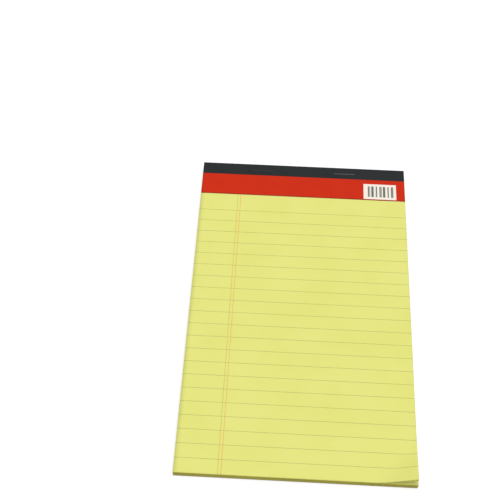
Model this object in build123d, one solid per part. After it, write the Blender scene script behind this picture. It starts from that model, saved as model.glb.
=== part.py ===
from build123d import *

import os
from math import cos, hypot, radians, sin

# A junior legal pad lying on its back: ruled sheets on a chipboard back, stapled near the head,
# with a printed paper strip glued round the head and over the staples.
#
# Millimetres. +Z is up out of the top sheet, +Y runs to the bound head and +X to the reader's
# right. The origin is the centre of the footprint, on the plane of the lowest face.

os.makedirs("parts", exist_ok=True)

# --- sheets ---
SHEET_WIDTH = 127.0
SHEET_LENGTH = 203.2
SHEET_COUNT = 50
SHEET_THICKNESS = 0.086

# --- corner of the top sheets, curled up at the foot on the right ---
CURLED_SHEETS = 3
CURL_ALONG_FOOT = 25.5  # from the corner to where the curl starts on the foot edge
CURL_ALONG_SIDE = 28.0  # the same on the side edge
CURL_RADIUS = 18.5  # underside of the bend; past the bend the sheets are straight
CURL_ANGLE = 25.0
CURL_GAP = 0.03  # air under the curled sheets along the line where they start to lift

# --- back ---
BOARD_THICKNESS = 0.6

# --- binding strip ---
STRIP_THICKNESS = 0.12
FRONT_FLAP = 24.2
BACK_FLAP = 19.0
FOLD_RADIUS = 0.2  # outside of both folds

# --- staples ---
WIRE_DIAMETER = 0.5
WIRE_BEND = 0.6  # to the wire's centre line
WIRE_CLEARANCE = 0.03  # between the wire and what it passes through or under
CROWN_WIDTH = 14.0
CROWN_SINK = 0.2  # how far the crown is pressed into the top sheets
CLINCH_LENGTH = 4.6  # of each leg, turned in under the board
STAPLE_SPACING = 51.4
STAPLE_INSET = 4.9  # from the head edge of the sheets
STAPLE_SKEW = {"left": 0.0, "right": 1.1}  # degrees out of line with the head
TENT_RUN = 0.8  # width of the slope where the strip rises over a crown

# --- levels and edges that follow from those ---
BOARD_BOTTOM = STRIP_THICKNESS
BOARD_TOP = BOARD_BOTTOM + BOARD_THICKNESS
SHEETS_TOP = BOARD_TOP + SHEET_COUNT * SHEET_THICKNESS
HEAD = (SHEET_LENGTH + STRIP_THICKNESS) / 2  # outer face of the strip at the head
SHEET_HEAD = HEAD - STRIP_THICKNESS
FOOT = SHEET_HEAD - SHEET_LENGTH
SIDE = SHEET_WIDTH / 2
WIRE_RADIUS = WIRE_DIAMETER / 2
CROWN_LEVEL = SHEETS_TOP - CROWN_SINK + WIRE_RADIUS
CLINCH_LEVEL = BOARD_BOTTOM + WIRE_CLEARANCE + WIRE_RADIUS


def slab(bottom, top):
    """A plain slab of the sheets' outline between two levels."""
    middle = (FOOT + SHEET_HEAD) / 2
    size = (SHEET_WIDTH, SHEET_LENGTH, top - bottom)
    return Pos(0, middle, bottom) * Box(*size, align=(Align.CENTER, Align.CENTER, Align.MIN))


def prism(points, bottom, top):
    """An upright prism on an outline of (x, y) points."""
    outline = make_face(Polyline(*points, close=True))
    return Pos(0, 0, bottom) * extrude(outline, amount=top - bottom, dir=(0, 0, 1))


# --- the curled corner ---
CORNER = Vector(SIDE, FOOT)
CURL_FOOT_END = Vector(SIDE - CURL_ALONG_FOOT, FOOT)
CURL_SIDE_END = Vector(SIDE, FOOT + CURL_ALONG_SIDE)
CURL_DIRECTION = Vector(CURL_ALONG_SIDE, -CURL_ALONG_FOOT).normalized()  # towards the corner
CURL_ARC = CURL_RADIUS * radians(CURL_ANGLE)


def curled_place(point):
    """Where a point of the flat sheet lies in plan once the corner has curled up."""
    flat = (point - CURL_FOOT_END).dot(CURL_DIRECTION)
    bend = min(flat, CURL_ARC)
    reach = CURL_RADIUS * sin(bend / CURL_RADIUS) + (flat - bend) * cos(radians(CURL_ANGLE))
    return point - CURL_DIRECTION * (flat - reach)


def curl_section(thickness):
    """The curled sheets cut across the curl: an arc that starts flat, then a straight end."""
    angle = radians(CURL_ANGLE)
    inner_radius = CURL_RADIUS - (thickness - CURL_GAP)
    tail = CURL_ALONG_FOOT + CURL_ALONG_SIDE  # more than enough; the outline trims it
    tail_step = Vector(cos(angle), sin(angle)) * tail

    def on_arc(radius, turn):
        rise = CURL_GAP + CURL_RADIUS - radius * cos(turn)
        return Vector(radius * sin(turn), rise)

    under = [on_arc(CURL_RADIUS, share * angle) for share in (0, 0.5, 1)]
    over = [on_arc(inner_radius, share * angle) for share in (0, 0.5, 1)]
    outline = [
        ThreePointArc(*under),
        Polyline(under[2], under[2] + tail_step, over[2] + tail_step, over[2]),
        ThreePointArc(*over),
        Line(over[0], under[0]),
    ]
    return make_face(outline)


def curled_corner(thickness):
    """The curled corner of the top sheets as one leaf of the given thickness."""
    level = SHEETS_TOP - thickness
    across = Plane(
        origin=(CURL_FOOT_END.X, CURL_FOOT_END.Y, level),
        x_dir=(CURL_DIRECTION.X, CURL_DIRECTION.Y, 0),
        z_dir=(CURL_DIRECTION.Y, -CURL_DIRECTION.X, 0),
    )
    length = hypot(CURL_ALONG_FOOT, CURL_ALONG_SIDE)
    rolled = extrude(across * curl_section(thickness), amount=2 * length, both=True)
    bend_share = CURL_ARC / (CORNER - CURL_FOOT_END).dot(CURL_DIRECTION)
    flat_outline = [
        CURL_FOOT_END,
        CURL_FOOT_END + (CORNER - CURL_FOOT_END) * bend_share,
        CORNER,
        CURL_SIDE_END + (CORNER - CURL_SIDE_END) * bend_share,
        CURL_SIDE_END,
    ]
    plan = [curled_place(point) for point in flat_outline]
    return rolled & prism(plan, level, SHEETS_TOP + length)


# --- staples ---
def staple_wire(radius, clinch):
    """A clinched staple of round wire, centred on X with its crown along X."""
    half = CROWN_WIDTH / 2 - WIRE_RADIUS
    path = FilletPolyline(
        (clinch - half, 0, CLINCH_LEVEL),
        (-half, 0, CLINCH_LEVEL),
        (-half, 0, CROWN_LEVEL),
        (half, 0, CROWN_LEVEL),
        (half, 0, CLINCH_LEVEL),
        (half - clinch, 0, CLINCH_LEVEL),
        radius=WIRE_BEND,
    )
    return sweep(Plane(origin=path @ 0, z_dir=path % 0) * Circle(radius), path=path)


def staple_cavity():
    """The room that a staple takes in the sheets and the board, its legs' open grooves included."""
    reach = CLINCH_LENGTH + WIRE_CLEARANCE
    half = CROWN_WIDTH / 2 - WIRE_RADIUS
    room = staple_wire(WIRE_RADIUS + WIRE_CLEARANCE, reach)
    groove = Box(reach, WIRE_DIAMETER, CLINCH_LEVEL, align=(Align.MAX, Align.CENTER, Align.MIN))
    for end, turn in ((half, 0), (-half, 180)):
        room += Pos(end, 0, 0) * Rot(0, 0, turn) * groove
    return room


def strip_tent():
    """The hollow under the strip where it rises over a crown, with sloping sides."""
    height = WIRE_DIAMETER - CROWN_SINK + WIRE_CLEARANCE
    length = CROWN_WIDTH + 2 * WIRE_CLEARANCE
    width = WIRE_DIAMETER + 2 * WIRE_CLEARANCE
    foot = Pos(0, 0, SHEETS_TOP) * SlotOverall(length + 2 * TENT_RUN, width + 2 * TENT_RUN)
    ridge = Pos(0, 0, SHEETS_TOP + height) * SlotOverall(length, width)
    return loft([foot, ridge], ruled=True)


def staple_place(side):
    """Where the staple on one side goes, with its skew."""
    across = {"left": -STAPLE_SPACING / 2, "right": STAPLE_SPACING / 2}[side]
    return Pos(across, SHEET_HEAD - STAPLE_INSET, 0) * Rot(0, 0, STAPLE_SKEW[side])


# --- the pieces ---
def sheet_block():
    """All the sheets as one solid, the top ones curled up at the corner."""
    thickness = CURLED_SHEETS * SHEET_THICKNESS
    flat_corner = [CURL_FOOT_END, CORNER, CURL_SIDE_END]
    block = slab(BOARD_TOP, SHEETS_TOP)
    block -= prism(flat_corner, SHEETS_TOP - thickness, SHEETS_TOP + thickness)
    block += curled_corner(thickness)
    for side in STAPLE_SKEW:
        block -= staple_place(side) * staple_cavity()
    return block


def backing_board():
    """The chipboard back, with a hole and a pressed groove for each staple leg."""
    board = slab(BOARD_BOTTOM, BOARD_TOP)
    for side in STAPLE_SKEW:
        board -= staple_place(side) * staple_cavity()
    return board


def binding_strip():
    """The printed strip folded round the head, raised over each staple's crown."""
    top = SHEETS_TOP + STRIP_THICKNESS
    section = make_face(
        Polyline(
            (HEAD - BACK_FLAP, 0),
            (HEAD, 0),
            (HEAD, top),
            (HEAD - FRONT_FLAP, top),
            (HEAD - FRONT_FLAP, SHEETS_TOP),
            (SHEET_HEAD, SHEETS_TOP),
            (SHEET_HEAD, BOARD_BOTTOM),
            (HEAD - BACK_FLAP, BOARD_BOTTOM),
            close=True,
        )
    )
    folds = section.vertices().group_by(Axis.X)[-1]
    section = fillet(folds, FOLD_RADIUS)
    strip = extrude(Plane.YZ * section, amount=SHEET_WIDTH / 2, both=True)
    for side in STAPLE_SKEW:
        tent = staple_place(side) * strip_tent()
        strip += Pos(0, 0, STRIP_THICKNESS) * tent
        strip -= tent
    return strip


export_step(sheet_block(), "parts/sheet_block.step")
export_step(backing_board(), "parts/backing_board.step")
export_step(binding_strip(), "parts/binding_strip.step")
for side in STAPLE_SKEW:
    staple = staple_place(side) * staple_wire(WIRE_RADIUS, CLINCH_LENGTH)
    export_step(staple, f"parts/staple_{side}.step")
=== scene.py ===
import math

import bpy
import numpy as np
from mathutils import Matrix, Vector


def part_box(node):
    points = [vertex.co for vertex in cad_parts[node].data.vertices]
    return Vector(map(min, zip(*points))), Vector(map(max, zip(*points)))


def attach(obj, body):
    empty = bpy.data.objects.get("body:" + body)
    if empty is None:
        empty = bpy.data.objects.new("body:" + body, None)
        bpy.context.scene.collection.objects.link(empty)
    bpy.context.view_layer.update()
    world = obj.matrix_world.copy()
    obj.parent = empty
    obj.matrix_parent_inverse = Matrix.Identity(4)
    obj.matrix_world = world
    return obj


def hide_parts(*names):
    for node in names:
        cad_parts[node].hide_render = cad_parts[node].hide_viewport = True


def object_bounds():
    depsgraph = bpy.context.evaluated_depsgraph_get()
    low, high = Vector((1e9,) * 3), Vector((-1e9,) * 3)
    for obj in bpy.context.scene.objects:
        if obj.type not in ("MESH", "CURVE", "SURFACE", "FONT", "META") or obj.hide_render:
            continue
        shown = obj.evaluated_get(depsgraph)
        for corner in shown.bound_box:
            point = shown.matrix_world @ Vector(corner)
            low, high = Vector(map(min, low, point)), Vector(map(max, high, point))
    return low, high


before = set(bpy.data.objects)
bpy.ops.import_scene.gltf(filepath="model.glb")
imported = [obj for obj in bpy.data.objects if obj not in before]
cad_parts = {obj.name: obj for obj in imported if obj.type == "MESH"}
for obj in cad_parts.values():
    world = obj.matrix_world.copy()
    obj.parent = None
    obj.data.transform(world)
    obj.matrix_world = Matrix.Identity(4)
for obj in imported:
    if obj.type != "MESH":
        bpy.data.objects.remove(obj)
cad_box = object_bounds()

# Metres, in the frame of the CAD: +Y to the bound head, +X to the reader's right, +Z up.
MM = 0.001

# --- the stack of sheets ---
SHEET_COUNT = 50
SHEET_PITCH = 0.086 * MM
CURLED_SHEETS = 3
SHEET_AIR = 0.004 * MM  # between one sheet and the next
HEAD_INSET = 0.06 * MM  # glue room between the sheets' head edges and the strip
EDGE_GROOVE = 0.025 * MM  # how far the seam between two sheets lies behind their edges
EDGE_SCATTER = 0.02 * MM  # how unevenly the sheets' edges were trimmed
EDGE_STEP = 6 * MM  # between points round the stack
SEAM_SHARE = 0.15  # of a sheet, above and below each seam, over which its edge falls back
PAGE_STEP = 3 * MM  # between points on a loose sheet

# --- the curled corner ---
CURL_ALONG_FOOT = 25.5 * MM
CURL_ALONG_SIDE = 28.0 * MM
CURL_RADIUS = 18.5 * MM
CURL_ANGLES = (25.0, 22.5, 19.0)  # degrees, from the top sheet down
CURL_STEP = 0.8 * MM  # between points at the curl
CURL_MARGIN = 2 * MM  # how far those points run past it
WAVE_HEIGHT = 0.05 * MM  # how far the top sheets lie off flat

# --- what is printed on a sheet, from its left edge and from the head ---
RULE_SPACING = 25.4 * MM * 5 / 16
FIRST_RULE = 36.4 * MM
RULE_COUNT = 21
RULE_WIDTH = 0.3 * MM
MARGIN_LINES = (23.2 * MM, 24.95 * MM)
MARGIN_WIDTH = 0.3 * MM

# --- the strip ---
STRIP_THICKNESS = 0.12 * MM
FRONT_FLAP = 24.2 * MM
BACK_FLAP = 19.0 * MM
FOLD_RADIUS = 0.2 * MM
RED_BAND = 15.6 * MM  # from the front flap's free edge
LABEL_LEFT, LABEL_WIDTH = 101.3 * MM, 20.3 * MM
LABEL_FOOT, LABEL_HEIGHT = 0.8 * MM, 11.6 * MM
LABEL_BORDER = 1.7 * MM
BAR_WAVES = (2600.0, 6100.0)  # radians per metre across
FOLD_SHARES = (0, 0.2, 0.4, 0.6, 0.8, 1)  # of a fold, where the strip has points

# --- the staples' crowns, which raise the strip ---
CROWN_HALF = 6.75 * MM
CROWN_RAISE = 0.33 * MM
CROWN_FLAT = 0.2 * MM  # each side of a crown, before the strip slopes down
CROWN_RUN = 0.75 * MM  # over which it slopes down
STAPLE_ACROSS = 25.7 * MM
STAPLE_INSET = 4.9 * MM
STAPLE_SKEW = {-1: 0.0, 1: 1.1}  # degrees, left and right
CROWN_WEAR_AND_HIGHLIGHT = {-1: 0.05, 1: 0.35}  # how far the strip is lightened over each crown, left and right: a little worn-off print on both, and a painted highlight on the right one
CROWN_LINE = FRONT_FLAP - STRIP_THICKNESS - STAPLE_INSET  # from the front flap's free edge

SEED = 7  # for the trimmed edges

_, board_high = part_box("backing_board")
sheets_low, sheets_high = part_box("sheet_block")
strip_low, strip_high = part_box("binding_strip")
STACK_FOOT = board_high.z
SHEETS_TOP = STACK_FOOT + SHEET_COUNT * SHEET_PITCH
LEFT, RIGHT = sheets_low.x, sheets_high.x
FOOT, SHEET_HEAD = sheets_low.y, sheets_high.y
HEAD = strip_high.y


def srgb(red, green, blue):
    """A linear colour from display values of 0 to 255."""
    def linear(value):
        share = value / 255
        return share / 12.92 if share <= 0.04045 else ((share + 0.055) / 1.055) ** 2.4
    return (linear(red), linear(green), linear(blue), 1.0)


# --------------------------------------------------------------------------------------
# Materials
# --------------------------------------------------------------------------------------


class Finish:
    """A material under construction: its node tree and short calls for the nodes it needs."""

    def __init__(self, name):
        self.material = bpy.data.materials.new(name)
        self.material.use_nodes = True
        self.tree = self.material.node_tree
        self.shader = self.tree.nodes["Principled BSDF"]

    def node(self, kind, **settings):
        made = self.tree.nodes.new("ShaderNode" + kind)
        for key, value in settings.items():
            setattr(made, key, value)
        return made

    def feed(self, socket, value):
        if isinstance(value, bpy.types.NodeSocket):
            self.tree.links.new(value, socket)
        else:
            socket.default_value = value

    def math(self, operation, *values):
        made = self.node("Math", operation=operation)
        for socket, value in zip(made.inputs, values):
            self.feed(socket, value)
        return made.outputs[0]

    def mix(self, share, first, second):
        """One colour to another, by a share of 0 to 1."""
        made = self.node("Mix", data_type="RGBA")
        self.feed(made.inputs["Factor"], share)
        self.feed(made.inputs["A"], first)
        self.feed(made.inputs["B"], second)
        return made.outputs["Result"]

    def noise(self, vector, scale, detail=3.0, roughness=0.5):
        made = self.node("TexNoise")
        self.feed(made.inputs["Vector"], vector)
        made.inputs["Scale"].default_value = scale
        made.inputs["Detail"].default_value = detail
        made.inputs["Roughness"].default_value = roughness
        return made.outputs["Fac"]

    def ramp(self, value, low, high, out_low=0.0, out_high=1.0):
        """A value's range mapped smoothly to another, and held at its ends."""
        made = self.node("MapRange", interpolation_type="SMOOTHSTEP")
        self.feed(made.inputs["Value"], value)
        for name, number in (
            ("From Min", low), ("From Max", high), ("To Min", out_low), ("To Max", out_high)
        ):
            made.inputs[name].default_value = number
        return made.outputs["Result"]

    def stretched(self, vector, across, along, up):
        """Coordinates scaled apart, so that a pattern comes out drawn out one way."""
        made = self.node("Mapping")
        self.feed(made.inputs["Vector"], vector)
        made.inputs["Scale"].default_value = (across, along, up)
        return made.outputs["Vector"]

    def object_place(self):
        return self.node("TexCoord").outputs["Object"]

    def printed_place(self, layer):
        """A point's place on the flat paper, across and along, in metres."""
        place = self.node("UVMap", uv_map=layer).outputs["UV"]
        parts = self.node("SeparateXYZ")
        self.feed(parts.inputs[0], place)
        return place, parts.outputs["X"], parts.outputs["Y"]

    def near(self, value, middle, half_width, softness):
        """1 within half_width of a middle, falling to 0 over softness."""
        off = self.math("ABSOLUTE", self.math("SUBTRACT", value, middle))
        return self.ramp(off, half_width - softness / 2, half_width + softness / 2, 1.0, 0.0)

    def bump(self, height, distance, strength=1.0):
        made = self.node("Bump")
        made.inputs["Distance"].default_value = distance
        made.inputs["Strength"].default_value = strength
        self.feed(made.inputs["Height"], height)
        self.feed(self.shader.inputs["Normal"], made.outputs["Normal"])

    def set(self, **values):
        for name, value in values.items():
            self.feed(self.shader.inputs[name.replace("_", " ")], value)


PAPER = srgb(231, 231, 132)
PAPER_DEEP = srgb(229, 229, 127)
RULE_INK = srgb(177, 182, 104)
MARGIN_INKS = (srgb(206, 186, 86), srgb(243, 160, 80))  # the left line, then the right one


def printed_lines(finish, across, along):
    """Shares of ink on a ruled sheet: the rules, then the margin's left and right lines."""
    last_rule = FIRST_RULE + (RULE_COUNT - 1) * RULE_SPACING
    steps = finish.math("DIVIDE", finish.math("SUBTRACT", along, FIRST_RULE), RULE_SPACING)
    off_line = finish.math("MULTIPLY", finish.math("PINGPONG", steps, 0.5), RULE_SPACING)
    line = finish.ramp(off_line, RULE_WIDTH * 0.3, RULE_WIDTH * 0.7, 1.0, 0.0)
    middle = (FIRST_RULE + last_rule) / 2
    ruled = finish.near(along, middle, (last_rule - FIRST_RULE) / 2 + RULE_WIDTH, RULE_WIDTH / 4)
    rules = finish.math("MULTIPLY", line, ruled)
    margins = [
        finish.near(across, place, MARGIN_WIDTH / 2, MARGIN_WIDTH * 0.4) for place in MARGIN_LINES
    ]
    return rules, margins


def ruled_paper():
    """Yellow writing paper with its printed lines, soft and faintly fibrous."""
    finish = Finish("ruled_paper")
    place, across, along = finish.printed_place("sheet_plan")
    clouds = finish.noise(place, 45, detail=2)
    fibres = finish.noise(finish.stretched(place, 1.0, 2.5, 1.0), 2600, detail=4, roughness=0.65)
    colour = finish.mix(finish.ramp(clouds, 0.3, 0.7), PAPER, PAPER_DEEP)
    colour = finish.mix(finish.ramp(fibres, 0.45, 0.8, 0.0, 0.22), colour, srgb(205, 203, 98))
    rules, margins = printed_lines(finish, across, along)
    density = finish.ramp(finish.noise(place, 700, detail=3), 0.2, 0.75, 0.65, 1.0)
    colour = finish.mix(finish.math("MULTIPLY", rules, density), colour, RULE_INK)
    for margin, ink in zip(margins, MARGIN_INKS):
        colour = finish.mix(finish.math("MULTIPLY", margin, density), colour, ink)
    finish.set(Base_Color=colour, Roughness=finish.ramp(clouds, 0.3, 0.7, 0.8, 0.88))
    finish.shader.inputs["Specular IOR Level"].default_value = 0.25
    finish.bump(fibres, 0.012 * MM, 0.7)
    return finish.material


def cut_edges():
    """The trimmed edges of the sheets: darker than the page as painted shade for the gaps between them,
    each a little lighter or darker, ticked where ink runs off.
    """
    finish = Finish("cut_sheet_edges")
    place = finish.object_place()
    per_sheet = finish.noise(finish.stretched(place, 0.005, 0.005, 1.0), 9000, detail=2)
    flecks = finish.noise(finish.stretched(place, 0.08, 0.08, 1.0), 6000, detail=3)
    # Both edge colours lie well below the page's: painted shade for the gaps between the sheets,
    # besides each sheet's own lighter or darker tone.
    colour = finish.mix(finish.ramp(per_sheet, 0.3, 0.7), srgb(214, 206, 98), srgb(170, 160, 66))
    colour = finish.mix(finish.ramp(flecks, 0.5, 0.8, 0.0, 0.25), colour, srgb(150, 142, 66))
    _, across, along = finish.printed_place("sheet_plan")
    rules, margins = printed_lines(finish, across, along)
    colour = finish.mix(finish.math("MULTIPLY", rules, 0.35), colour, srgb(120, 130, 80))
    for margin in margins:
        colour = finish.mix(finish.math("MULTIPLY", margin, 0.4), colour, srgb(186, 132, 74))
    finish.set(Base_Color=colour, Roughness=0.9)
    finish.shader.inputs["Specular IOR Level"].default_value = 0.2
    finish.bump(per_sheet, 0.02 * MM)
    return finish.material


def label_bars(finish, across):
    """Upright bars of uneven width, from two waves that beat against each other. They spell nothing."""
    slow, fast = (
        finish.math("SINE", finish.math("MULTIPLY", across, wave_rate)) for wave_rate in BAR_WAVES
    )
    beat = finish.math("ADD", slow, finish.math("MULTIPLY", fast, 0.8))
    return finish.ramp(beat, -0.05, 0.15)


def printed_strip():
    """The strip's coated paper: dark round the fold, red below, a white field with bars."""
    finish = Finish("printed_strip")
    place, across, along = finish.printed_place("strip_plan")
    clouds = finish.noise(place, 90, detail=3)
    grain = finish.noise(place, 3000, detail=4, roughness=0.6)
    dark = finish.mix(finish.ramp(clouds, 0.3, 0.7), srgb(32, 36, 37), srgb(37, 40, 41))
    red = finish.mix(finish.ramp(clouds, 0.3, 0.7), srgb(207, 43, 7), srgb(202, 41, 8))
    colour = finish.mix(finish.ramp(along, RED_BAND - 0.1 * MM, RED_BAND + 0.1 * MM), red, dark)

    label_middle = LABEL_LEFT + LABEL_WIDTH / 2
    label_level = LABEL_FOOT + LABEL_HEIGHT / 2

    def field(inset):
        return finish.math(
            "MULTIPLY",
            finish.near(across, label_middle, LABEL_WIDTH / 2 - inset, 0.1 * MM),
            finish.near(along, label_level, LABEL_HEIGHT / 2 - inset, 0.1 * MM),
        )

    # Towards the front flap's free edge the strip darkens to a thin dark line.
    free_edge = finish.ramp(along, 0.2 * MM, 1.0 * MM, 0.7, 0.0)
    colour = finish.mix(free_edge, colour, srgb(120, 34, 16))
    fold = finish.near(along, FRONT_FLAP, 0.15 * MM, 0.5 * MM)
    worn = finish.math("MULTIPLY", fold, finish.ramp(grain, 0.45, 0.7, 0.0, 0.5))
    colour = finish.mix(worn, colour, srgb(140, 137, 130))
    # Over the staples' crowns the strip is lightened: a little wear on both, and on the right crown
    # mostly a painted highlight.
    for side, wear_and_highlight in CROWN_WEAR_AND_HIGHLIGHT.items():
        crown = finish.math(
            "MULTIPLY",
            finish.near(across, (RIGHT - LEFT) / 2 + side * STAPLE_ACROSS, CROWN_HALF, 2 * MM),
            finish.near(along, CROWN_LINE, 0.15 * MM, 0.3 * MM),
        )
        rubbed_and_lit = finish.math("MULTIPLY", crown, finish.ramp(grain, 0.25, 0.6, 0.3, 1.0))
        colour = finish.mix(finish.math("MULTIPLY", rubbed_and_lit, wear_and_highlight), colour, srgb(190, 188, 182))

    bars = finish.math("MULTIPLY", field(LABEL_BORDER), label_bars(finish, across))
    colour = finish.mix(field(0), colour, srgb(250, 238, 226))
    colour = finish.mix(bars, colour, srgb(100, 113, 104))
    finish.set(Base_Color=colour, Roughness=finish.ramp(clouds, 0.3, 0.7, 0.5, 0.58))
    finish.shader.inputs["Specular IOR Level"].default_value = 0.12
    finish.bump(grain, 0.004 * MM, 0.6)
    return finish.material


def strip_core():
    """The bare paper in the strip's cut edges."""
    finish = Finish("strip_core")
    grain = finish.noise(finish.object_place(), 6000, detail=3)
    colour = finish.mix(finish.ramp(grain, 0.3, 0.7), srgb(214, 208, 198), srgb(188, 180, 168))
    finish.set(Base_Color=colour, Roughness=0.9)
    return finish.material


def chipboard():
    """Grey board pressed from waste paper, with light and dark flecks."""
    finish = Finish("chipboard")
    place = finish.object_place()
    clouds = finish.noise(place, 60, detail=4)
    fibres = finish.noise(finish.stretched(place, 1.0, 3.0, 3.0), 500, detail=6, roughness=0.7)
    flecks = finish.noise(place, 850, detail=2, roughness=0.4)
    colour = finish.mix(finish.ramp(clouds, 0.25, 0.75), srgb(152, 144, 130), srgb(166, 158, 144))
    colour = finish.mix(finish.ramp(fibres, 0.5, 0.8, 0.0, 0.5), colour, srgb(118, 110, 98))
    colour = finish.mix(finish.ramp(flecks, 0.66, 0.74, 0.0, 0.7), colour, srgb(206, 200, 188))
    colour = finish.mix(finish.ramp(flecks, 0.34, 0.26, 0.0, 0.6), colour, srgb(84, 80, 76))
    finish.set(Base_Color=colour, Roughness=finish.ramp(fibres, 0.3, 0.7, 0.85, 0.95))
    finish.bump(fibres, 0.03 * MM)
    return finish.material


def staple_wire():
    """Bright drawn wire, with fine lines along it."""
    finish = Finish("staple_wire")
    lines = finish.noise(finish.stretched(finish.object_place(), 0.05, 1.0, 1.0), 9000, detail=2)
    colour = finish.mix(finish.ramp(lines, 0.3, 0.7), srgb(200, 202, 204), srgb(168, 170, 174))
    finish.set(Base_Color=colour, Roughness=finish.ramp(lines, 0.3, 0.7, 0.22, 0.36))
    finish.shader.inputs["Metallic"].default_value = 1.0
    return finish.material


# --------------------------------------------------------------------------------------
# Meshes
# --------------------------------------------------------------------------------------


def stops(low, high, coarse, fine=(), fine_step=None):
    """Grid lines from low to high: coarse steps, and fine ones inside the given spans."""
    places = set(np.linspace(low, high, max(2, round((high - low) / coarse) + 1)))
    for start, end in fine:
        count = max(2, round((end - start) / fine_step) + 1)
        places.update(np.clip(np.linspace(start, end, count), low, high))
    kept = [low]
    for place in sorted(places):
        if place - kept[-1] > 0.02 * MM:
            kept.append(place)
    kept[-1] = high
    return np.array(kept)


def add_piece(name, points, faces, materials, face_materials, layer, plan, replaced):
    """A mesh piece with a plan layer that holds each point's place on the flat paper."""
    mesh = bpy.data.meshes.new(name)
    mesh.from_pydata(points.tolist(), [], faces)
    for material in materials:
        mesh.materials.append(material)
    mesh.polygons.foreach_set("material_index", face_materials)
    corners = np.empty(len(mesh.loops), np.int32)
    mesh.loops.foreach_get("vertex_index", corners)
    mesh.uv_layers.new(name=layer).data.foreach_set("uv", plan[corners].astype(np.float32).ravel())
    mesh.polygons.foreach_set("use_smooth", [index == 0 for index in face_materials])
    mesh.update()
    mesh.validate()
    piece = bpy.data.objects.new(name, mesh)
    bpy.context.scene.collection.objects.link(piece)
    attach(piece, "root")
    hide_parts(replaced)
    return piece


def slab_faces(columns, rows):
    """Faces of a closed slab whose points are an upper grid and then a lower one, and which of
    them are edges. Points run along a row first."""
    below = columns * rows

    def at(column, row):
        return row * columns + column

    faces, edge = [], []
    for row in range(rows - 1):
        for column in range(columns - 1):
            ring = [at(column, row), at(column + 1, row), at(column + 1, row + 1), at(column, row + 1)]
            faces.append(ring)
            faces.append([below + corner for corner in reversed(ring)])
            edge += [0, 0]
    outline = [at(column, 0) for column in range(columns)]
    outline += [at(columns - 1, row) for row in range(1, rows)]
    outline += [at(column, rows - 1) for column in range(columns - 2, -1, -1)]
    outline += [at(0, row) for row in range(rows - 2, 0, -1)]
    for start, end in zip(outline, outline[1:] + outline[:1]):
        faces.append([start, below + start, below + end, end])
        edge.append(1)
    return faces, edge


def sheet_plan(x, y):
    """The plan layer of points on the sheets: metres from the left edge and from the head."""
    return np.stack([x - LEFT, HEAD - y], axis=1)


def curled(x, y, z, middle, radius, angle):
    """Points of a flat sheet bent up over the corner's curl, about a sheet's middle level."""
    length = math.hypot(CURL_ALONG_FOOT, CURL_ALONG_SIDE)
    toward_x, toward_y = CURL_ALONG_SIDE / length, -CURL_ALONG_FOOT / length
    flat = (x - (RIGHT - CURL_ALONG_FOOT)) * toward_x + (y - FOOT) * toward_y
    flat = np.maximum(flat, 0)
    bend = np.minimum(flat, radius * angle)
    turn = bend / radius
    beyond = flat - bend
    own_radius = radius - (z - middle)
    reach = own_radius * np.sin(turn) + beyond * np.cos(turn)
    rise = radius - own_radius * np.cos(turn) + beyond * np.sin(turn)
    lifted = flat > 0
    moved_x = np.where(lifted, x + (reach - flat) * toward_x, x)
    moved_y = np.where(lifted, y + (reach - flat) * toward_y, y)
    return moved_x, moved_y, np.where(lifted, middle + rise, z)


def wave(x, y):
    """How far the top sheets lie off flat: nothing at the strip, a little along the free edges."""
    free = np.clip((HEAD - FRONT_FLAP - y) / (60 * MM), 0, 1)
    roll = np.sin(x / (21 * MM) + 0.8) * np.sin(y / (34 * MM) + 0.3) + np.sin((x + y) / (47 * MM))
    return WAVE_HEIGHT * free * (roll + 2) / 4


def loose_sheet(order, materials):
    """One of the top sheets, curled up at the corner. Order 0 is the topmost."""
    curl_across = (RIGHT - CURL_ALONG_FOOT - CURL_MARGIN, RIGHT)
    curl_along = (FOOT, FOOT + CURL_ALONG_SIDE + CURL_MARGIN)
    columns = stops(LEFT, RIGHT, PAGE_STEP, [curl_across], CURL_STEP)
    rows = stops(FOOT, SHEET_HEAD - HEAD_INSET, PAGE_STEP, [curl_along], CURL_STEP)
    x, y = (grid.ravel() for grid in np.meshgrid(columns, rows))
    top = SHEETS_TOP - order * SHEET_PITCH
    bottom = top - SHEET_PITCH + SHEET_AIR
    lift = wave(x, y)
    points, plans = [], []
    for level in (top, bottom):
        placed = curled(
            x, y, level + 0 * x, (top + bottom) / 2,
            CURL_RADIUS + order * SHEET_PITCH, math.radians(CURL_ANGLES[order]),
        )
        points.append(np.stack([placed[0], placed[1], placed[2] + lift], axis=1))
        plans.append(sheet_plan(x, y))
    faces, edge = slab_faces(len(columns), len(rows))
    name = ("top_sheet", "second_sheet", "third_sheet")[order]
    return add_piece(
        name, np.concatenate(points), faces, materials, edge, "sheet_plan", np.concatenate(plans),
        "sheet_block",
    )


def rim(outward):
    """Points round the stack's outline, moved outward by an amount for each side: foot, right,
    head and left. Returned with the outline's own points, for the plan layer."""
    foot_side, right_side, head_side, left_side = outward
    across = stops(LEFT, RIGHT, EDGE_STEP)
    along = stops(FOOT, SHEET_HEAD - HEAD_INSET, EDGE_STEP)
    flat = [(x, along[0]) for x in across[:-1]]
    flat += [(across[-1], y) for y in along[:-1]]
    flat += [(x, along[-1]) for x in across[:0:-1]]
    flat += [(across[0], y) for y in along[:0:-1]]
    flat = np.array(flat)
    moved = flat.copy()
    moved[flat[:, 1] == along[0], 1] -= foot_side
    moved[flat[:, 0] == across[-1], 0] += right_side
    moved[flat[:, 1] == along[-1], 1] += head_side
    moved[flat[:, 0] == across[0], 0] -= left_side
    return moved, flat


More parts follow.
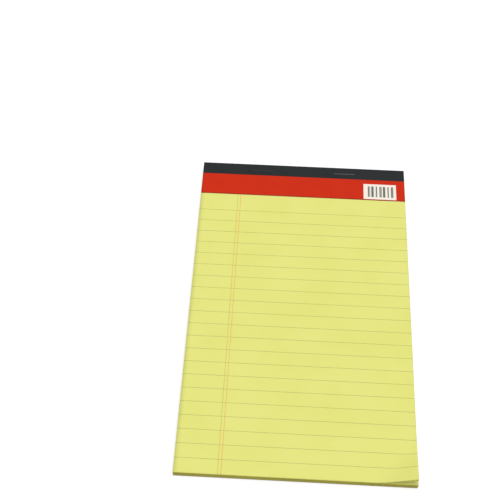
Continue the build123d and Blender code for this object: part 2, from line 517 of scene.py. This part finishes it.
def sheet_stack(materials):
    """The sheets below the curled ones as one closed block, each sheet's edge standing out from
    the seams above and below it."""
    random = np.random.default_rng(SEED)
    count = SHEET_COUNT - CURLED_SHEETS
    drift = np.cumsum(random.normal(0, EDGE_SCATTER / 4, (count, 4)), axis=0)
    drift -= drift.mean(axis=0)
    trim = drift + random.uniform(-1, 1, (count, 4)) * EDGE_SCATTER / 2
    rings, plans = [], []

    def ring(outward, level):
        moved, flat = rim(outward)
        rings.append(np.column_stack([moved, np.full(len(moved), level)]))
        plans.append(sheet_plan(flat[:, 0], flat[:, 1]))

    for number in range(count):
        bottom = STACK_FOOT + number * SHEET_PITCH
        ring(trim[number], bottom + SHEET_PITCH * SEAM_SHARE)
        ring(trim[number], bottom + SHEET_PITCH * (1 - SEAM_SHARE))
        if number < count - 1:
            ring(np.minimum(trim[number], trim[number + 1]) - EDGE_GROOVE, bottom + SHEET_PITCH)
    rings[0][:, 2] = STACK_FOOT
    rings[-1][:, 2] = STACK_FOOT + count * SHEET_PITCH - SHEET_AIR
    size = len(rings[0])
    faces = [list(range(size))[::-1]]
    faces.append([(len(rings) - 1) * size + corner for corner in range(size)])
    edge = [0, 0]
    for level in range(len(rings) - 1):
        for corner in range(size):
            following = (corner + 1) % size
            low, high = level * size, (level + 1) * size
            faces.append([low + corner, low + following, high + following, high + corner])
            edge.append(1)
    return add_piece(
        "sheet_stack", np.concatenate(rings), faces, materials, edge, "sheet_plan",
        np.concatenate(plans), "sheet_block",
    )


def crown_raise(x, y):
    """How far the strip is raised over the staples' crowns."""
    raised = np.zeros_like(x)
    for side, skew in STAPLE_SKEW.items():
        turn = math.radians(skew)
        off_x = x - side * STAPLE_ACROSS
        off_y = y - (SHEET_HEAD - STAPLE_INSET)
        along = off_x * math.cos(turn) + off_y * math.sin(turn)
        across = off_y * math.cos(turn) - off_x * math.sin(turn)
        past_end = np.maximum(np.abs(along) - CROWN_HALF, 0)
        slope = np.clip((np.hypot(past_end, across) - CROWN_FLAT) / CROWN_RUN, 0, 1)
        raised = np.maximum(raised, CROWN_RAISE * (1 - slope) ** 2 * (1 + 2 * slope))
    return raised


def strip_path(along, depth):
    """Where the strip's section runs, for distances from the front flap's free edge. Depth 0 is
    its outer face and 1 its inner one. Returns Y and Z."""
    inward = depth * STRIP_THICKNESS
    radius = FOLD_RADIUS
    top = SHEETS_TOP + STRIP_THICKNESS
    front_flat = FRONT_FLAP - radius
    turn = radius * math.pi / 2
    spine = top - strip_low.z - 2 * radius
    y, z = np.empty_like(along), np.empty_like(along)
    for number, place in enumerate(along):
        if place <= front_flat:
            y[number], z[number] = HEAD - FRONT_FLAP + place, top - inward
            continue
        place -= front_flat
        if place <= turn:
            angle = place / radius
            y[number] = HEAD - radius + (radius - inward) * math.sin(angle)
            z[number] = top - radius + (radius - inward) * math.cos(angle)
            continue
        place -= turn
        if place <= spine:
            y[number], z[number] = HEAD - inward, top - radius - place
            continue
        place -= spine
        if place <= turn:
            angle = place / radius
            y[number] = HEAD - radius + (radius - inward) * math.cos(angle)
            z[number] = strip_low.z + radius - (radius - inward) * math.sin(angle)
            continue
        y[number], z[number] = HEAD - radius - (place - turn), strip_low.z + inward
    return y, z


def folded_strip(materials):
    """The binding strip as one folded sheet with two faces and cut edges."""
    top = SHEETS_TOP + STRIP_THICKNESS
    fold = FOLD_RADIUS * math.pi / 2
    spine = top - strip_low.z - 2 * FOLD_RADIUS
    first_fold = FRONT_FLAP - FOLD_RADIUS
    second_fold = first_fold + fold + spine
    length = second_fold + fold + BACK_FLAP - FOLD_RADIUS
    crown_ends = [
        side * STAPLE_ACROSS + end * CROWN_HALF for side in STAPLE_SKEW for end in (-1, 1)
    ]
    fine_across = [(place - 1.5 * MM, place + 1.5 * MM) for place in crown_ends]
    fine_along = [(CROWN_LINE - 1.6 * MM, CROWN_LINE + 1.6 * MM)]
    columns = stops(LEFT, RIGHT, 1.5 * MM, fine_across, 0.15 * MM)
    rows = stops(0, length, 1.2 * MM, fine_along, 0.1 * MM)
    folds = [start + fold * share for start in (first_fold, second_fold) for share in FOLD_SHARES]
    rows = np.unique(np.concatenate([rows, folds]))
    across, along = (grid.ravel() for grid in np.meshgrid(columns, rows))
    points = []
    for depth in (0, 1):
        y, z = strip_path(rows, depth)
        y, z = np.repeat(y, len(columns)), np.repeat(z, len(columns))
        on_front = along < first_fold
        z = z + np.where(on_front, crown_raise(across, y), 0)
        points.append(np.stack([across, y, z], axis=1))
    plan = np.stack([across - LEFT, along], axis=1)
    faces, edge = slab_faces(len(columns), len(rows))
    return add_piece(
        "folded_strip", np.concatenate(points), faces, materials, edge, "strip_plan",
        np.concatenate([plan, plan]), "binding_strip",
    )


# --------------------------------------------------------------------------------------
# Stage
# --------------------------------------------------------------------------------------

CAMERA_PLACE = Vector((-16.5, -253.4, 459.1)) * MM
CAMERA_TURN = (32.61, -0.16, 3.06)  # degrees
CAMERA_LENS = 64.8

FLOOR_HALF = 6.0
FLOOR_SHADE = 0.5
FLOOR_GLOW = 0.6  # added for the camera, so that the floor clips to white
SKY = 0.5  # the light that the sky gives the object
KEY_STRENGTH = 1.6
KEY_SPREAD = 35.0  # degrees
KEY_FROM = Vector((0.15, 0.0, 1.0))


def seen_directly(tree):
    """1 for rays from the camera and those that reach it by reflection or through glass."""
    path = tree.nodes.new("ShaderNodeLightPath")
    seen = path.outputs["Is Camera Ray"]
    for name in ("Is Glossy Ray", "Is Transmission Ray"):
        joined = tree.nodes.new("ShaderNodeMath")
        joined.operation = "MAXIMUM"
        tree.links.new(seen, joined.inputs[0])
        tree.links.new(path.outputs[name], joined.inputs[1])
        seen = joined.outputs[0]
    return seen


def pale_floor():
    """A pale floor that renders white where nothing shades it, and keeps the shadow."""
    material = bpy.data.materials.new("stage_floor")
    material.use_nodes = True
    tree = material.node_tree
    tree.nodes.clear()
    diffuse = tree.nodes.new("ShaderNodeBsdfDiffuse")
    diffuse.inputs["Color"].default_value = (FLOOR_SHADE, FLOOR_SHADE, FLOOR_SHADE, 1)
    glow = tree.nodes.new("ShaderNodeEmission")
    strength = tree.nodes.new("ShaderNodeMath")
    strength.operation = "MULTIPLY"
    strength.inputs[1].default_value = FLOOR_GLOW
    tree.links.new(seen_directly(tree), strength.inputs[0])
    tree.links.new(strength.outputs[0], glow.inputs["Strength"])
    total = tree.nodes.new("ShaderNodeAddShader")
    tree.links.new(diffuse.outputs[0], total.inputs[0])
    tree.links.new(glow.outputs[0], total.inputs[1])
    output = tree.nodes.new("ShaderNodeOutputMaterial")
    tree.links.new(total.outputs[0], output.inputs["Surface"])
    return material


def set_stage():
    """Floor, sky, soft key lamp and camera."""
    mesh = bpy.data.meshes.new("floor")
    corners = [(x * FLOOR_HALF, y * FLOOR_HALF, 0) for x, y in ((-1, -1), (1, -1), (1, 1), (-1, 1))]
    mesh.from_pydata(corners, [], [(0, 1, 2, 3)])
    mesh.materials.append(pale_floor())
    floor = bpy.data.objects.new("floor", mesh)
    floor.location.z = cad_box[0][2]
    bpy.context.scene.collection.objects.link(floor)

    world = bpy.data.worlds.new("sky")
    world.use_nodes = True
    tree = world.node_tree
    background = tree.nodes["Background"]
    background.inputs["Color"].default_value = (1, 1, 1, 1)
    level = tree.nodes.new("ShaderNodeMapRange")
    tree.links.new(seen_directly(tree), level.inputs["Value"])
    level.inputs["To Min"].default_value = SKY
    level.inputs["To Max"].default_value = 1.0
    tree.links.new(level.outputs["Result"], background.inputs["Strength"])
    bpy.context.scene.world = world

    lamp = bpy.data.lights.new("key", "SUN")
    lamp.energy = KEY_STRENGTH
    lamp.angle = math.radians(KEY_SPREAD)
    key = bpy.data.objects.new("key", lamp)
    key.rotation_euler = KEY_FROM.to_track_quat("Z", "Y").to_euler()
    bpy.context.scene.collection.objects.link(key)

    camera_data = bpy.data.cameras.new("camera")
    camera_data.lens = CAMERA_LENS
    camera_data.sensor_width = 36.0
    camera_data.clip_start = 0.01
    camera = bpy.data.objects.new("camera", camera_data)
    camera.location = CAMERA_PLACE
    camera.rotation_euler = [math.radians(turn) for turn in CAMERA_TURN]
    bpy.context.scene.collection.objects.link(camera)
    bpy.context.scene.camera = camera
    bpy.context.scene.view_settings.view_transform = "Standard"


def give_material(node, material):
    """A CAD node keeps its shape and takes a material of its own."""
    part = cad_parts[node]
    if not part.material_slots:
        part.data.materials.append(material)
    for place in part.material_slots:
        place.material = material


sheet_materials = [ruled_paper(), cut_edges()]
sheet_stack(sheet_materials)
for order in range(CURLED_SHEETS):
    loose_sheet(order, sheet_materials)
folded_strip([printed_strip(), strip_core()])
give_material("backing_board", chipboard())
wire = staple_wire()
for node in ("staple_left", "staple_right"):
    give_material(node, wire)
set_stage()
